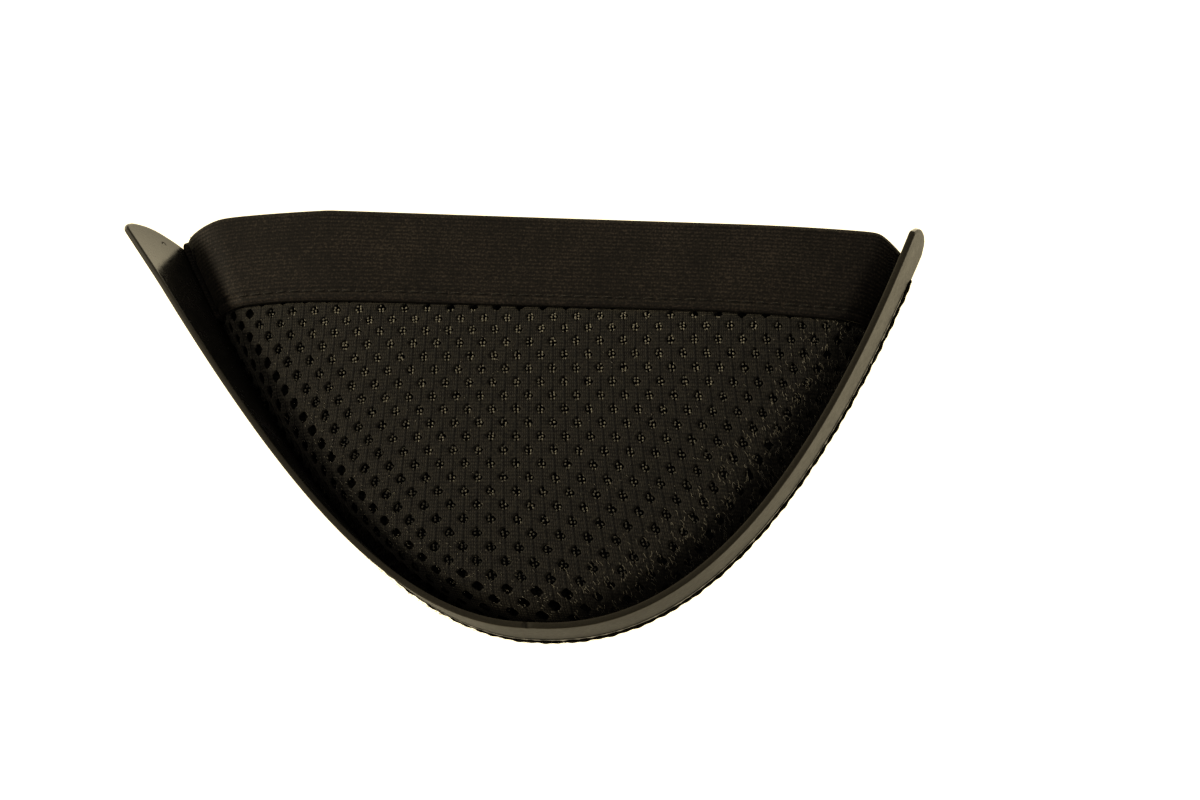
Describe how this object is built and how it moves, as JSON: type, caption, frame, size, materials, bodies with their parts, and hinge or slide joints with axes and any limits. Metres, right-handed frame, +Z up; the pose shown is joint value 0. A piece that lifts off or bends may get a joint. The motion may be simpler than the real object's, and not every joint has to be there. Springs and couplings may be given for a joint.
{
  "type": "helmet chin curtain",
  "caption": "Padded black mesh curtain on a bent flexible plastic strip, with a folded elastic band along its open edge; closes the gap under a helmet's chin.",
  "frame": {"origin": "centre of the bounding box in plan, on the floor plane that the curtain lies on", "axes": "+X from the left tip of the strip to the right tip, +Y from the strip's apex to the open elastic edge, +Z up from the hem to the strip's bare free edge"},
  "size_m": [0.2038, 0.1098, 0.0215],
  "materials": {
    "strip_plastic": "satin black polypropylene",
    "tape": "thin adhesive tape",
    "mesh": "black knitted spacer mesh with staggered oval holes",
    "hem": "raw cut edge of the same black mesh",
    "foam": "soft black foam",
    "backing": "plain black tricot",
    "elastic": "black ribbed woven elastic",
    "thread": "black polyester thread"
  },
  "bodies": {
    "root": {"carrier_strip": "strip_plastic", "mesh_hem": "hem", "hem_tape": "tape", "mesh_face": "mesh", "foam_core": "foam", "backing_cloth": "backing", "elastic_band": "elastic", "band_stitching": "thread", "end_tacks": "thread"}
  },
  "joints": []
}
